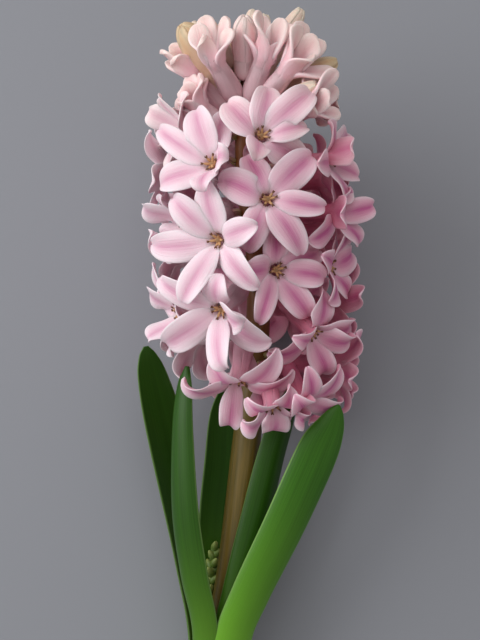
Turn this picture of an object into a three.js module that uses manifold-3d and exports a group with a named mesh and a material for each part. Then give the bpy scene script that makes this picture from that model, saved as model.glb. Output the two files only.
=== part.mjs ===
// A hyacinth as picked: one flower spike on its scape, five strap leaves and a small second spike,
// cut straight across at the foot and lying on its back on a flat surface.
//
// The plant is laid out in its own frame, in millimetres: x to the right, y up the scape from the cut,
// z towards whoever looks at its front. Round the scape, a turn of 0 degrees faces the front and
// +90 faces right. At the end the whole plant is leaned and set down on z = 0.
import * as THREE from "three";
import { mergeVertices } from "three/addons/utils/BufferGeometryUtils.js";
import Module from "manifold-3d";

// ---- driving dimensions, mm and degrees ------------------------------------------------------------
const GAP = 0.3; // between pieces that touch
const GIVE = 0.5; // how far a piece stays clear of one placed before it
const LEAN = 11.1; // the spike is fatter than the foot, so the scape slopes up this much when laid down
const FOOT_DEPTH = 8.6; // from the scape's line at the cut down to the surface it lies on
const FINEST = 0.14; // edges shorter than this, left by a cut, are taken out
const ROLL = 0.6; // turn about the scape's own line that brings the resting florets level

const SCAPE = {
  length: 236,
  // height, how far its middle stands to the right, radius
  line: [
    [0, -9, 5.6],
    [33, -6.4, 5.5],
    [61, -2.4, 5.3],
    [100, 2, 5.1],
    [142, 6.2, 4.3],
    [168, 6, 3.9],
    [196, 2, 3.5],
    [222, 1.5, 2.8],
    [236, 3, 1.7],
  ],
  rings: 14,
  sides: 12,
};

const TEPAL = {
  width: 8.8,
  thickness: 1.7,
  reach: 17.5,
  belly: 6.5, // how far it runs forwards before it swings out
  curl: 4, // how far it arches over its tip
  neck: 0.42, // its width in the throat, as a share of the full width
  neckEnds: 0.2, // how far along it that narrow part goes
  seat: 2.8, // from the throat's middle to where it leaves the tube
  seam: 1.6, // how far below the mouth it joins the tube
};
const TUBE = {
  length: 17,
  // radius, how far up the tube
  profile: [
    [1.2, 0],
    [3.7, 0.26],
    [3.3, 0.6],
    [3.4, 1],
  ],
  sides: 5,
};
const PEDICEL = { radius: 1.15, shortest: 2, inTube: 1.5 };
const BUD = {
  longestStalk: 5,
  stalkShare: 0.25,
  stalkRadius: 1.05,
  // radius as a share of the greatest, how far up the body
  profile: [
    [0.85, 0.2],
    [0.95, 0.5],
    [1, 0.75],
    [0.6, 0.94],
  ],
  sides: 7,
};

const LEAF = {
  thickness: 3,
  edge: 0.35, // how thick the margin is, as a share of the middle
  tip: 0.55, // how thick the tip is, as a share of the foot
  alongSteps: 10,
  acrossSteps: 4,
};

const COLOUR = { petal: 0xe3b7cc, bud: 0xe6d3b4, leaf: 0x2f5a1f, scape: 0x7d6a30, green: 0x7f9440 };

// ---- small helpers ---------------------------------------------------------------------------------
const wasm = await Module();
wasm.setup();

const vec = (x, y, z) => new THREE.Vector3(x, y, z);
const radians = THREE.MathUtils.degToRad;
const mix = THREE.MathUtils.lerp;

// A repeatable number from -1 to 1 for the small differences between one floret and the next.
function wobble(index, kind) {
  const s = Math.sin(index * 12.9898 + kind * 78.233) * 43758.5453;
  return 2 * (s - Math.floor(s)) - 1;
}

// The value at height y in rows of [height, ...values], eased from one row to the next.
function along(rows, y, column) {
  const last = rows.length - 1;
  let i = 0;
  while (i < last - 1 && y > rows[i + 1][0]) i += 1;
  const t = THREE.MathUtils.clamp((y - rows[i][0]) / (rows[i + 1][0] - rows[i][0]), 0, 1);
  return mix(rows[i][column], rows[i + 1][column], t);
}

// The middle of the scape at a height, and the direction that faces a turn round it.
const scapeMiddle = (y) => vec(along(SCAPE.line, y, 1), y, 0);
const facing = (turn) => vec(Math.sin(radians(turn)), 0, Math.cos(radians(turn)));

// A closed geometry as a solid that can be joined and cut.
function solidOf(geometry) {
  const bare = new THREE.BufferGeometry().setAttribute("position", geometry.getAttribute("position"));
  if (geometry.index) bare.setIndex(geometry.index);
  const merged = mergeVertices(bare, 1e-3);
  return new wasm.Manifold(
    new wasm.Mesh({
      numProp: 3,
      vertProperties: new Float32Array(merged.attributes.position.array),
      triVerts: new Uint32Array(merged.index.array),
    }),
  );
}

// A solid as a named mesh in its own colour.
function meshOf(name, solid, colour) {
  const { numProp, vertProperties, triVerts } = solid.getMesh();
  const position = new Float32Array((vertProperties.length / numProp) * 3);
  for (let i = 0; i < position.length / 3; i += 1)
    position.set(vertProperties.subarray(i * numProp, i * numProp + 3), i * 3);
  const geometry = new THREE.BufferGeometry()
    .setAttribute("position", new THREE.BufferAttribute(position, 3))
    .setIndex(new THREE.BufferAttribute(new Uint32Array(triVerts), 1));
  geometry.computeVertexNormals();
  const material = new THREE.MeshStandardMaterial({ color: colour, roughness: 0.5, metalness: 0 });
  const mesh = new THREE.Mesh(geometry, material);
  mesh.name = name;
  return mesh;
}

// Moves every vertex of a geometry to where a function puts it.
function reshape(geometry, place) {
  const at = geometry.getAttribute("position");
  for (let i = 0; i < at.count; i += 1) {
    const p = place(at.getX(i), at.getY(i), at.getZ(i));
    at.setXYZ(i, p.x, p.y, p.z);
  }
  return geometry;
}

// ---- the scape -------------------------------------------------------------------------------------
function scapeSolid(extra = 0) {
  const profile = [new THREE.Vector2(0, -extra)];
  for (let i = 0; i <= SCAPE.rings; i += 1) {
    const y = (SCAPE.length * i) / SCAPE.rings;
    profile.push(new THREE.Vector2(along(SCAPE.line, y, 2) + extra, y + (i ? extra : -extra)));
  }
  profile.push(new THREE.Vector2(0, SCAPE.length + extra));
  const round = new THREE.LatheGeometry(profile, SCAPE.sides);
  return solidOf(reshape(round, (x, y, z) => vec(x + along(SCAPE.line, y, 1), y, z)));
}

// ---- florets ---------------------------------------------------------------------------------------
// A lathe profile set along a line from foot towards tip.
function turned(profile, foot, direction, sides) {
  const points = profile.map(([radius, height]) => new THREE.Vector2(radius, height));
  const aim = new THREE.Quaternion().setFromUnitVectors(vec(0, 1, 0), direction);
  const geometry = new THREE.LatheGeometry(points, sides);
  geometry.applyQuaternion(aim).translate(foot.x, foot.y, foot.z);
  return solidOf(geometry);
}

// One tepal: a flat spindle bent along a curve that leaves the throat forwards, swings out and curls back.
function tepalSolid(floret, tip, extra) {
  const { throat, axis, belly, curl, width } = floret;
  const out = tip.clone().sub(throat);
  out.addScaledVector(axis, -out.dot(axis)).normalize();
  const root = throat.clone().addScaledVector(axis, -TEPAL.seam).addScaledVector(out, TEPAL.seat);
  const bend = new THREE.CubicBezierCurve3(
    root,
    root.clone().addScaledVector(axis, belly).addScaledVector(out, 1.2),
    tip.clone().addScaledVector(axis, curl).addScaledVector(out, -2),
    tip,
  );
  const side = out.clone().cross(axis).normalize();
  const length = root.distanceTo(tip);
  return solidOf(
    reshape(new THREE.SphereGeometry(1, 4, 4), (across, up, thick) => {
      const t = THREE.MathUtils.clamp((up * (1 + extra / length) + 1) / 2, 0, 1);
      const spill = (up * (1 + (2 * extra) / length) + 1) / 2 - t;
      const tangent = bend.getTangent(t);
      const inner = side.clone().cross(tangent).normalize();
      const neck = t < TEPAL.neckEnds ? TEPAL.neck : 1;
      return bend
        .getPoint(t)
        .addScaledVector(tangent, spill * length)
        .addScaledVector(side, across * (neck * (width / 2) + 2 * extra))
        .addScaledVector(inner, thick * (TEPAL.thickness / 2 + 2 * extra));
    }),
  );
}

// The whole floret as one body: a pedicel, the tube over it, and six tepals.
function floretSolid(floret, extra = 0) {
  const { foot, throat, axis, tips } = floret;
  const tube = Math.min(TUBE.length, foot.distanceTo(throat) - PEDICEL.shortest);
  const start = throat.clone().addScaledVector(axis, -tube);
  const wall = TUBE.profile.map(([radius, up]) => [radius + extra, up * tube + (up ? extra : -extra)]);
  const body = turned([[0, -extra], ...wall, [0, tube + extra]], start, axis, TUBE.sides);
  const pieces = [body, pedicelSolid(foot, start, extra)];
  for (const tip of tips) pieces.push(tepalSolid(floret, tip, extra));
  return wasm.Manifold.union(pieces);
}

function pedicelSolid(foot, start, extra) {
  const way = start.clone().sub(foot);
  const long = way.length() + PEDICEL.inTube;
  const radius = PEDICEL.radius + extra;
  const profile = [[0, -extra], [radius, -extra], [radius, long], [0, long]];
  return turned(profile, foot, way.normalize(), TUBE.sides);
}

// A closed bud: a pedicel and a long body that ends in a blunt tip.
function budSolid(bud, extra = 0) {
  const { foot, tip, fat } = bud;
  const direction = tip.clone().sub(foot);
  const long = direction.length();
  const stalk = Math.min(BUD.longestStalk, long * BUD.stalkShare);
  const body = long - stalk;
  const thin = BUD.stalkRadius + extra;
  const skin = BUD.profile.map(([share, up]) => [fat * share + extra, stalk + body * up]);
  const profile = [[0, -extra], [thin, -extra], [thin, stalk], ...skin, [0, long + extra]];
  return turned(profile, foot, direction.normalize(), BUD.sides);
}

// The buds at the very tip as one body: they meet in a knob that sits on the end of the scape.
const KNOB = { foot: 1.6, top: 1.2, shoulder: 4, height: 4.5, sides: 6, sunk: 0.6 };

function crownSolid(extra = 0) {
  const seat = SCAPE.length + GAP - extra;
  const middle = scapeMiddle(seat);
  const { foot, top, shoulder, height, sides } = KNOB;
  const profile = [[0, 0], [foot + extra, 0], [top + extra, shoulder], [0, height + extra]];
  const pieces = [turned(profile, middle, vec(0, 1, 0), sides)];
  for (const { tip, fat } of CROWN) {
    const start = middle.clone().add(vec(0, KNOB.sunk, 0));
    pieces.push(budSolid({ foot: start, tip: vec(...tip), fat }, extra));
  }
  return wasm.Manifold.union(pieces);
}

// Where a floret's pedicel leaves the scape, at a height and a turn.
function footAt(height, turn) {
  const clear = along(SCAPE.line, height, 2) + GAP;
  return scapeMiddle(height).addScaledVector(facing(turn), clear);
}

// The turn round the scape at which a point stands, seen from a height on it.
function turnOf(point, height) {
  const away = point.clone().sub(scapeMiddle(height));
  return THREE.MathUtils.radToDeg(Math.atan2(away.x, away.z));
}

// A floret whose mouth and tips are set by eye, for those that face the front. The lowest ones nod: their
// tubes hang down by some degrees from the line between foot and mouth.
function setFloret(floret) {
  const { mouth, foot, tips, nod = 0 } = floret;
  const { belly = TEPAL.belly, curl = TEPAL.curl, width = TEPAL.width } = floret;
  const throat = vec(...mouth);
  const start = footAt(foot, turnOf(throat, foot));
  const axis = throat.clone().sub(start).normalize();
  const down = vec(0, -1, 0);
  axis.applyAxisAngle(axis.clone().cross(down).normalize(), radians(nod));
  return { foot: start, throat, axis, tips: tips.map((p) => vec(...p)), belly, curl, width };
}

// How far down the surface is under the plant at a height: tepals that reach it are pressed flat on it.
function pressed(tip) {
  const floor = TEPAL.thickness / 2 - FOOT_DEPTH - tip.y * Math.tan(radians(LEAN));
  return vec(tip.x, tip.y, Math.max(tip.z, floor));
}

function setBud({ foot, tip, fat }) {
  const end = vec(...tip);
  return { foot: footAt(foot, turnOf(end, foot)), tip: end, fat };
}

// A floret grown to rule, for the sides and the back: it leaves the scape at a height and a turn,
// lifts by some degrees, and spreads its six tepals evenly with small differences. ahead is how far
// forward of the mouth their tips stand.
function grownFloret(floret, index) {
  const { height, turn, lift, roll, far = 22, ahead = 1.5 } = floret;
  const { reach = TEPAL.reach, curl = TEPAL.curl } = floret;
  const foot = footAt(height, turn);
  const axis = facing(turn).multiplyScalar(Math.cos(radians(lift)));
  axis.y = Math.sin(radians(lift));
  const throat = foot.clone().addScaledVector(axis, far);
  const upward = vec(0, 1, 0).addScaledVector(axis, -axis.y).normalize();
  const sideways = upward.clone().cross(axis).normalize();
  const tips = [];
  for (let i = 0; i < 6; i += 1) {
    const angle = radians(roll + 60 * i + 7 * wobble(index, i));
    const whorl = i % 2 ? 1 : -1;
    const long = reach * (1 + 0.07 * wobble(index, i + 10));
    const tip = throat.clone().addScaledVector(sideways, Math.sin(angle) * long);
    tip.addScaledVector(upward, Math.cos(angle) * long);
    tip.addScaledVector(axis, ahead + whorl + 1.5 * wobble(index, i + 20));
    tips.push(pressed(tip));
  }
  return { foot, throat, axis, tips, belly: TEPAL.belly, curl, width: TEPAL.width };
}

// Florets set by eye, from the lowest up: the middle of the mouth, the height of the foot on the scape,
// and the six tepal tips. The last six are only half open.
const SET_FLORETS = [
  { mouth: [11, 118, 22], foot: 131, belly: 8, curl: 8, nod: 16,
    tips: [[2, 121, 31], [1, 112, 27], [9, 110, 15], [20, 116, 13], [18, 124, 29], [7, 124, 9]] },
  { mouth: [0, 127, 20], foot: 143, belly: 9, curl: 9, nod: 20,
    tips: [[-19, 126, 21], [-10, 134, 27], [12, 136, 28], [18, 130, 19], [-4, 113, 15], [2, 137, 9]] },
  { mouth: [21, 120, 16], foot: 134, belly: 8, curl: 7, nod: 12,
    tips: [[34, 130, 14], [34, 120, 9], [17, 121, 28], [17, 116, 22], [27, 117, 5], [22, 131, 24]] },
  { mouth: [24, 143, 15], foot: 156, belly: 7, curl: 7, nod: 8,
    tips: [[39, 141, 11], [39, 147, 6], [30, 157, 17], [17, 141, 28], [10, 135, 20], [27, 129, 9]] },
  { mouth: [-6, 150, 24], foot: 157, belly: 7.5, curl: 6, width: 9, nod: 8,
    tips: [[2, 146, 36], [-7, 161, 32], [-27, 161, 17], [-25, 138, 19], [-3, 131, 29], [10, 139, 27]] },
  { mouth: [12, 163, 21], foot: 164, belly: 7, curl: 5, width: 8.6,
    tips: [[29, 160, 17], [27, 170, 14], [12, 176, 20], [1, 163, 31], [6, 145, 25], [24, 147, 18]] },
  { mouth: [-7, 173, 25], foot: 177, belly: 7, curl: 5, width: 9.2,
    tips: [[6, 177, 37], [-11, 192, 28], [-22, 187, 22], [-30, 172, 17], [-17, 152, 24], [6, 157, 30]] },
  { mouth: [9, 186, 28], foot: 185, belly: 7, curl: 5, width: 9.2,
    tips: [[28, 184, 25], [25, 201, 25], [2, 201, 24], [-7, 192, 28], [2, 169, 24], [20, 168, 27]] },
  { mouth: [-9, 198, 25], foot: 193, belly: 7, curl: 5, width: 9,
    tips: [[-4, 199, 36], [-3, 216, 18], [-15, 217, 21], [-27, 211, 15], [-27, 192, 20], [-11, 188, 33]] },
  { mouth: [7, 207, 27], foot: 200, belly: 7, curl: 5, width: 9,
    tips: [[22, 210, 24], [22, 223, 21], [9, 224, 21], [-4, 219, 24], [5, 198, 35], [21, 198, 21]] },
  { mouth: [29, 201, 12], foot: 200, curl: 2,
    tips: [[28, 213, 20], [38, 204, 22], [40, 196, 8], [33, 186, 15], [24, 198, 27], [38, 212, 2]] },
  { mouth: [31, 183, 12], foot: 184, curl: 3,
    tips: [[40, 192, 14], [45, 186, 7], [34, 181, 28], [22, 173, 24], [38, 172, 5], [30, 195, 3]] },
  { mouth: [30, 165, 8], foot: 168, curl: 3,
    tips: [[41, 178, 8], [42, 170, 1], [26, 168, 23], [28, 152, 16], [38, 155, 0], [31, 180, 1]] },
  { mouth: [-19, 211, 6], foot: 202, curl: 2, width: 8,
    tips: [[-26, 224, 7], [-31, 220, 1], [-31, 206, 3], [-24, 198, 13], [-14, 224, 10], [-27, 215, -7]] },
  { mouth: [-18, 180, 8], foot: 184, curl: 3, width: 8,
    tips: [[-34, 186, 6], [-26, 189, 15], [-30, 175, 2], [-22, 166, 15], [-14, 184, 23], [-24, 186, -5]] },
  { mouth: [-20, 149, 8], foot: 158, curl: 3, width: 8.4,
    tips: [[-29, 166, 8], [-32, 156, 1], [-32, 139, 8], [-22, 134, 14], [-17, 144, 22], [-25, 159, -4]] },
  { mouth: [-8, 234, 14], foot: 222, belly: 5.5, curl: -2, width: 8,
    tips: [[-15, 248, 16], [-12, 251, 10], [-7, 249, 8], [-12, 241, 21], [-4, 250, 13], [-4, 246, 18]] },
  { mouth: [8, 235, 14], foot: 221, belly: 5.5, curl: -2, width: 8,
    tips: [[5, 250, 20], [14, 248, 19], [18, 249, 12], [14, 251, 6], [3, 250, 11], [8, 252, 5]] },
  { mouth: [16, 231, 15], foot: 218, belly: 5.5, curl: -1, width: 8,
    tips: [[22, 249, 12], [27, 242, 18], [28, 243, 8], [33, 231, 13], [19, 246, 19], [26, 235, 21]] },
  { mouth: [-13, 219, 9], foot: 211, belly: 5.5, curl: -1, width: 8,
    tips: [[-23, 228, 12], [-19, 231, 7], [-13, 230, 14], [-24, 224, 4], [-25, 221, 13], [-15, 232, 3]] },
  { mouth: [-15, 232, 5], foot: 218, belly: 5.5, curl: -1, width: 7,
    tips: [[-27, 239, 8], [-24, 242, 3], [-20, 243, 8], [-23, 236, 11], [-27, 237, 2], [-20, 243, 1]] },
  { mouth: [22, 218, 16], foot: 210, belly: 5.5, curl: -1, width: 8,
    tips: [[32, 231, 17], [31, 222, 22], [33, 227, 8], [35, 217, 14], [26, 230, 10], [26, 219, 26]] },
];

// Florets grown to rule, whorl by whorl from the lowest up.
const GROWN_FLORETS = [
  { height: 131, turn: 97, lift: -4, roll: 20, reach: 17, curl: 5, ahead: 4 },
  { height: 130, turn: 133, lift: -10, roll: 5, far: 24, curl: 6 },
  { height: 127, turn: 180, lift: -12, roll: 30, far: 23.5, curl: 6 },
  { height: 143, turn: -132, lift: -8, roll: 28, far: 24, curl: 6 },
  { height: 153, turn: 108, lift: -4, roll: 45, curl: 3, ahead: 5 },
  { height: 152, turn: 157, lift: -4, roll: 10, far: 25.5 },
  { height: 160, turn: -168, lift: -4, roll: 40, far: 25.5 },
  { height: 168, turn: -101, lift: 0, roll: 0, far: 23, curl: 3, ahead: 4 },
  { height: 177, turn: 130, lift: 4, roll: 50, far: 24 },
  { height: 180, turn: 174, lift: 2, roll: 15, far: 25 },
  { height: 185, turn: -145, lift: 4, roll: 35, far: 24 },
  { height: 193, turn: 108, lift: 8, roll: 10, curl: 3, ahead: 4 },
  { height: 196, turn: -98, lift: 8, roll: 48, reach: 17, curl: 3, ahead: 4 },
  { height: 201, turn: 150, lift: 12, roll: 40 },
  { height: 204, turn: -168, lift: 12, roll: 20 },
  { height: 211, turn: -132, lift: 18, roll: 25, far: 19, reach: 14 },
  { height: 217, turn: 112, lift: 22, roll: 15, reach: 13, curl: 2, ahead: 6 },
  { height: 220, turn: 172, lift: 26, roll: 45, reach: 14 },
];

// Closed buds at the tip: the height of the foot, where the tip is, the greatest radius.
const BUDS = [
  { foot: 215, tip: [26, 226, 20], fat: 2.6 },
  { foot: 224, tip: [-20.5, 248, 11], fat: 5.1 },
  { foot: 224, tip: [34, 237, 4], fat: 3.6 },
  { foot: 224, tip: [19, 238, -17], fat: 3.5 },
  { foot: 224, tip: [2, 240, -24], fat: 3.5 },
  { foot: 224, tip: [-16, 239, -15], fat: 3.4 },
  { foot: 229, tip: [-17, 252, -3], fat: 2.6 },
  { foot: 228, tip: [22, 257, -2], fat: 2.9 },
  { foot: 232, tip: [-13, 253, 2], fat: 2.6 },
  { foot: 227, tip: [1.5, 250, 16], fat: 3.9 },
  { foot: 233, tip: [9, 249, -12], fat: 2.8 },
  { foot: 233, tip: [-5, 249, -11], fat: 2.7 },
];

// The tip of the scape: the smallest buds, still grown together.
const CROWN = [
  { tip: [1, 252, 3.5], fat: 2.3 },
  { tip: [9, 254, 1], fat: 2.4 },
  { tip: [4.5, 253, -5.5], fat: 2.3 },
  { tip: [4.5, 256, -1], fat: 2.2 },
];

// ---- leaves ----------------------------------------------------------------------------------------
// line: height, right, front, half width, thickness share. turn: the way the outer face looks at the
// foot and at the tip. wrap: half the angle of its channel at the foot and at the tip.
const LEAVES = [
  { name: "leaf_right", turn: [26, 8], wrap: [46, 24],
    line: [
      [0, -5, 9.6, 7.4], [33, -1.8, 10.8, 7.8], [50, 4.2, 12, 8], [74, 15.6, 14.2, 8.4],
      [93.5, 24.2, 15.8, 8.4], [103, 28.2, 16, 7.7], [109.5, 31.2, 15.8, 5.6], [114.4, 33, 15.2, 3],
      [117, 33.7, 14.6, 0.8],
    ] },
  { name: "leaf_left_inner", turn: [-38, -48], wrap: [40, 34],
    line: [
      [0, -15, 6.2, 5.8], [35, -13.2, 9, 6.4], [57, -17.2, 10.8, 7], [80, -20.4, 11.4, 7],
      [108, -21, 10.8, 5.6], [123, -20, 9.6, 4], [130, -18.4, 8.6, 1],
    ] },
  { name: "leaf_left_outer", turn: [-115, -160], wrap: [34, 14],
    line: [
      [0, -18, -5.5, 6], [31, -16, -6.5, 6.6], [58, -19.5, -9, 8], [85, -24, -11, 9.2],
      [110, -29, -12, 8.6], [126, -32.5, -12, 6.2], [133, -33.8, -11.4, 3.6], [136.5, -34.3, -11, 1],
    ] },
  { name: "leaf_back_left", turn: [-168, -170], wrap: [42, 24],
    line: [
      [0, -11.3, -8.4, 5.6], [44, -10.2, -8.8, 6], [73, -9, -9.6, 6.8], [95, -6.5, -10.6, 7.2],
      [112, -6, -11.5, 5.4], [124, -5, -12, 0.8],
    ] },
  { name: "leaf_inner_right", turn: [14, 24], wrap: [44, 36],
    line: [
      [0, -7.2, 7, 5.4], [33, -4.4, 7.3, 5.6], [52, -0.4, 7.8, 5.8], [76, 5.8, 7.8, 6],
      [98, 11.3, 6.6, 5.6], [113, 16, 4.2, 4.6], [124, 19, 2, 0.8],
    ] },
];

function leafSolid({ turn, wrap, line }, extra = 0) {
  const middle = new THREE.CatmullRomCurve3(line.map(([y, x, z]) => vec(x, y, z)));
  const wide = new THREE.CatmullRomCurve3(line.map(([y, , , half], i) => vec(i, half, y)));
  const block = new THREE.BoxGeometry(2, 1, 1, LEAF.acrossSteps, LEAF.alongSteps, 1);
  return solidOf(
    reshape(block, (across, up, thick) => {
      const t = up + 0.5;
      const centre = middle.getPoint(t);
      const half = wide.getPoint(t).y;
      const outward = facing(mix(turn[0], turn[1], t));
      const tangent = middle.getTangent(t);
      const side = tangent.clone().cross(outward).normalize();
      const back = side.clone().cross(tangent).normalize();
      const bow = radians(mix(wrap[0], wrap[1], t));
      const round = half / bow;
      const reach = across * (1 + extra / half);
      const edge = Math.max(0, 1 - across * across);
      const share = mix(LEAF.edge, 1, edge) * mix(1, LEAF.tip, t);
      const depth = thick * (LEAF.thickness * share + 2 * extra);
      return centre
        .addScaledVector(side, (round + depth) * Math.sin(reach * bow))
        .addScaledVector(back, (round + depth) * Math.cos(reach * bow) - round)
        .addScaledVector(tangent, up > 0.49 ? extra : up < -0.49 ? -extra : 0);
    }),
  );
}

// ---- the small second spike ------------------------------------------------------------------------
const SECOND = {
  foot: [-16.6, 1, -2.6],
  top: [-10.6, 50, -4.5],
  stalk: 1.5,
  point: 3, // the end of the stalk that tapers
  budRadius: 1.7,
  budStretch: 1.5,
  buds: 9,
  budsLong: 19, // how far the buds go on above the top of the stalk
  lastBud: 4, // how far the last one stays below the end
  golden: 137.5, // degrees from one bud to the next
  out: [1.5, 0.86], // how far the lowest and the highest bud stand out
};

function secondSpikeSolid() {
  const { stalk, point, buds, budRadius, budStretch, budsLong, lastBud, golden, out } = SECOND;
  const foot = vec(...SECOND.foot);
  const top = vec(...SECOND.top);
  const direction = top.clone().sub(foot).normalize();
  const long = foot.distanceTo(top);
  const end = long + budsLong;
  const pieces = [turned([[0, 0], [stalk, 0], [stalk, end - point], [0, end]], foot, direction, 8)];
  for (let i = 0; i < buds; i += 1) {
    const share = i / (buds - 1);
    const bead = new THREE.SphereGeometry(budRadius, 5, 4).scale(1, budStretch, 1);
    const place = foot.clone().addScaledVector(direction, long + (budsLong - lastBud) * share);
    place.addScaledVector(facing(i * golden), mix(out[0], out[1], share));
    pieces.push(solidOf(bead.translate(place.x, place.y, place.z)));
  }
  return wasm.Manifold.union(pieces);
}

// ---- putting the plant together --------------------------------------------------------------------
const plant = new THREE.Group();

// Each piece gives way to those already placed: what is within the gap of them is cut back.
const placed = [];

function overlapping(a, b) {
  return [0, 1, 2].every((i) => a.min[i] < b.max[i] && b.min[i] < a.max[i]);
}

function add(name, make, colour) {
  let solid = make(0).simplify(1.5 * FINEST);
  const box = solid.boundingBox();
  for (const other of placed) if (overlapping(box, other.box)) solid = solid.subtract(other.grown);
  const bodies = solid.simplify(FINEST).decompose().sort((a, b) => b.volume() - a.volume());
  const grown = make(GIVE);
  placed.push({ grown, box: grown.boundingBox() });
  plant.add(meshOf(name, bodies[0], colour));
}

const number = (i) => String(i + 1).padStart(2, "0");

add("scape", scapeSolid, COLOUR.scape);
for (const leaf of LEAVES) add(leaf.name, (extra) => leafSolid(leaf, extra), COLOUR.leaf);
add("second_spike", secondSpikeSolid, COLOUR.green);

const florets = [...SET_FLORETS.map(setFloret), ...GROWN_FLORETS.map(grownFloret)];
florets.forEach((floret, i) => {
  add("floret_" + number(i), (extra) => floretSolid(floret, extra), COLOUR.petal);
});

BUDS.forEach((bud, i) => add("bud_" + number(i), (extra) => budSolid(setBud(bud), extra), COLOUR.bud));
add("crown", crownSolid, COLOUR.bud);

// ---- laid down -------------------------------------------------------------------------------------
const laid = new THREE.Group();
plant.rotation.set(radians(LEAN), radians(ROLL), 0, "XYZ");
laid.add(plant);
laid.updateMatrixWorld(true);
const box = new THREE.Box3().setFromObject(laid, true);
laid.position.set(-(box.min.x + box.max.x) / 2, -(box.min.y + box.max.y) / 2, -box.min.z);

const hyacinth = new THREE.Group();
hyacinth.add(laid);

export default hyacinth;
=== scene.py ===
"""A hyacinth as picked, laid on its back: a spike of pink florets on its scape, with five strap leaves."""
import functools
import math

import bmesh
import bpy
from mathutils import Matrix, Vector
from mathutils.kdtree import KDTree


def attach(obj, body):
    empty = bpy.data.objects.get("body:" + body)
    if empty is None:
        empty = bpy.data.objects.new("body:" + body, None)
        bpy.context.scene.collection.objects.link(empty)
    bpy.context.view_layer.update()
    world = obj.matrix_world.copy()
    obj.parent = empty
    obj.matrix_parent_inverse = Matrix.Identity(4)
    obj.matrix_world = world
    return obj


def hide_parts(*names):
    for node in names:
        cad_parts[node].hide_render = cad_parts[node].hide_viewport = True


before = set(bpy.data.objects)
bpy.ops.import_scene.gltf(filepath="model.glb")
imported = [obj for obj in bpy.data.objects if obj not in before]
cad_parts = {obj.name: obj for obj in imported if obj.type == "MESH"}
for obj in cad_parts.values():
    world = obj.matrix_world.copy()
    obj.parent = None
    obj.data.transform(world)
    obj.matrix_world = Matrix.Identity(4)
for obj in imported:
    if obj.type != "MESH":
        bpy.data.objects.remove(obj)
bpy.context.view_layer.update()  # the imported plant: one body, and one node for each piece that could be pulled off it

# ---- the plant's own frame and the camera -------------------------------------------------------------
# The flower is grown in a frame of its own, in millimetres: x to the right, y up the scape from the cut,
# z towards whoever looks at its front. The plant then lies on its back, so that its front looks up, and
# the camera stands over it as far off as it stood before the upright flower.
MM = 0.001
LEAN = math.radians(11.1)  # the spike is fatter than the foot, so the scape slopes up this much
ROLL = math.radians(0.6)  # brings the plant down on its third point of rest
CUT_MIDDLE = Vector((-9, 0, 0))  # where the scape's line meets the cut
CUT_DEEP = 0.5  # points of the scape this close to its lowest one are on the cut
CAMERA_AT = Vector((0, 146, 450))
VIEW_HEIGHT = 227.2  # what the frame's height takes in at the scape's distance
SENSOR = 36

turned = Matrix.Rotation(LEAN, 3, "X") @ Matrix.Rotation(ROLL, 3, "Y")
scape_points = [turned.inverted() @ v.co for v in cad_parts["scape"].data.vertices]
lowest = min(p.y for p in scape_points)
cut_ring = [p for p in scape_points if p.y < lowest + CUT_DEEP * MM]
cut_seen = Vector((
    (min(p.x for p in cut_ring) + max(p.x for p in cut_ring)) / 2,
    lowest,
    (min(p.z for p in cut_ring) + max(p.z for p in cut_ring)) / 2,
))
laid = Matrix.Translation(turned @ (cut_seen - CUT_MIDDLE * MM)) @ turned.to_4x4()
plant = laid @ Matrix.Scale(MM, 4)

camera = bpy.data.objects.new("camera", bpy.data.cameras.new("camera"))
camera.data.sensor_fit = "VERTICAL"
camera.data.sensor_height = SENSOR
camera.data.lens = SENSOR * CAMERA_AT.z / VIEW_HEIGHT
camera.data.clip_start = 0.01
camera.matrix_world = laid @ Matrix.Translation(CAMERA_AT * MM)
bpy.context.scene.collection.objects.link(camera)
bpy.context.scene.camera = camera

# ---- the surface and the light ------------------------------------------------------------------------
# A plain pale surface under the plant, a large soft light from the left and a little ambient light.
SURFACE_SIDE = 6.0  # metres
AMBIENT = 0.52
LIGHTS = [
    # name, place in metres, what it looks at, side, watts
    ("soft_left", (-0.9, 0.3, 0.55), (0, 0.03, 0.03), 1.0, 9.5),
    ("soft_above", (-0.1, 0.6, 1.3), (0, 0, 0), 1.2, 4.2),
]


def linear(code):
    """An sRGB colour as the linear one that a shader works in."""
    shares = [int(code[i:i + 2], 16) / 255 for i in (0, 2, 4)]
    return [s / 12.92 if s <= 0.04045 else ((s + 0.055) / 1.055) ** 2.4 for s in shares] + [1]


def add(tree, kind, inputs, out=0, **choices):
    """Adds a shader node with its choices and gives one output. An input takes a value or an output."""
    made = tree.nodes.new("ShaderNode" + kind)
    for name, value in choices.items():
        setattr(made, name, value)
    for socket, value in inputs.items():
        if isinstance(value, bpy.types.NodeSocket):
            tree.links.new(value, made.inputs[socket])
        else:
            made.inputs[socket].default_value = value
    return made.outputs[out]


def new_material(name, settings):
    """A material with only its Principled shader, set as said; then that shader and their node tree."""
    material = bpy.data.materials.new(name)
    material.use_nodes = True
    tree = material.node_tree
    shader = tree.nodes["Principled BSDF"]
    for socket, value in settings.items():
        shader.inputs[socket].default_value = value
    return material, shader, tree


COLOUR = {"data_type": "RGBA", "out": 2}  # makes a Mix node mix colours, from input 6 to input 7

# Matt card: pale paper board, dry and with hardly any shine.
card, shader, tree = new_material("matt_card", {"Roughness": 0.9, "Specular IOR Level": 0.2})
grain = add(tree, "TexNoise", {"Scale": 3.0, "Detail": 3.0})
shade = add(tree, "Mix", {0: grain, 6: linear("8c8e95"), 7: linear("95979d")}, **COLOUR)
tree.links.new(shade, shader.inputs["Base Color"])

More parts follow.
